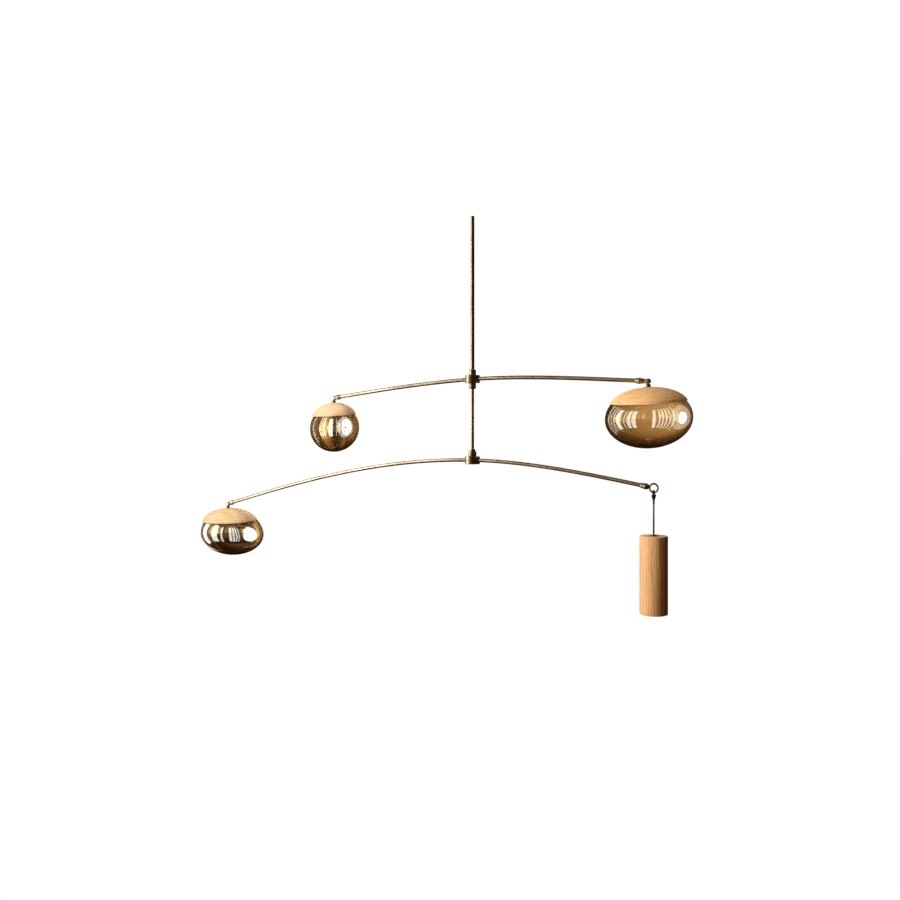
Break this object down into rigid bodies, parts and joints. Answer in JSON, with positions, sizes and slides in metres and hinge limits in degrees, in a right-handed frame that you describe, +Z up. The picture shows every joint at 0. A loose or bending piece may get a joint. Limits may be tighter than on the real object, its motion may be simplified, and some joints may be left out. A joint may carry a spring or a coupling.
{
  "type": "hanging mobile sculpture",
  "caption": "Hanging mobile: bowed brass arms in two tiers on a stem, with amber glass shades under oak caps and an oak cylinder counterweight.",
  "frame": {"origin": "middle of the stem's top end, where the mobile hangs", "axes": "+Z up along the stem, +X along both pairs of arms towards the counterweight, front faces -Y"},
  "size_m": [1.9237, 0.2384, 1.1618],
  "materials": {
    "aged_brass": "aged brass, satin, darkened in the recesses",
    "cap_oak": "pale turned oak, matt oil",
    "counterweight_oak": "pale turned oak with upright grain, matt oil",
    "amber_glass": "smoked amber blown glass, polished"
  },
  "bodies": {
    "root": {"stem": "aged_brass", "upper_hub_top_collar": "aged_brass", "upper_hub_bottom_collar": "aged_brass", "drop_rod": "aged_brass", "lower_hub_collar": "aged_brass", "lower_hub_bushing": "aged_brass"},
    "upper_arms": {"upper_hub_drum": "aged_brass", "upper_right_arm": "aged_brass", "upper_right_ferrule": "aged_brass", "upper_right_knuckle": "aged_brass", "upper_left_arm": "aged_brass", "upper_left_ferrule": "aged_brass", "upper_left_knuckle": "aged_brass"},
    "lower_arms": {"lower_hub_drum": "aged_brass", "lower_left_arm": "aged_brass", "lower_left_ferrule": "aged_brass", "lower_left_knuckle": "aged_brass", "lower_right_arm": "aged_brass", "lower_right_ferrule": "aged_brass", "counterweight_ring": "aged_brass", "counterweight_hook": "aged_brass", "counterweight_washer": "aged_brass", "counterweight": "counterweight_oak"},
    "right_shade": {"upper_right_shade_neck": "aged_brass", "upper_right_cap": "cap_oak", "upper_right_glass": "amber_glass"},
    "left_shade": {"upper_left_shade_neck": "aged_brass", "upper_left_cap": "cap_oak", "upper_left_glass": "amber_glass"},
    "lower_shade": {"lower_left_shade_neck": "aged_brass", "lower_left_cap": "cap_oak", "lower_left_glass": "amber_glass"}
  },
  "joints": [
    {"name": "upper_swivel", "type": "hinge", "parent": "root", "child": "upper_arms", "pos_m": [0, 0, -0.505], "axis": [0, 0, 1], "continuous": true},
    {"name": "lower_swivel", "type": "hinge", "parent": "root", "child": "lower_arms", "pos_m": [0, 0, -0.756], "axis": [0, 0, 1], "continuous": true},
    {"name": "right_shade_knuckle", "type": "hinge", "parent": "upper_arms", "child": "right_shade", "pos_m": [0.573, 0, -0.5295], "axis": [0, 0.9936, 0.1132], "range_deg": [-60, 15]},
    {"name": "left_shade_knuckle", "type": "hinge", "parent": "upper_arms", "child": "left_shade", "pos_m": [-0.58, 0, -0.5515], "axis": [0, 0.9954, 0.0958], "range_deg": [-15, 60]},
    {"name": "lower_shade_knuckle", "type": "hinge", "parent": "lower_arms", "child": "lower_shade", "pos_m": [-1.126, 0, -0.9465], "axis": [0, 0.9994, 0.0349], "range_deg": [-15, 60]}
  ]
}
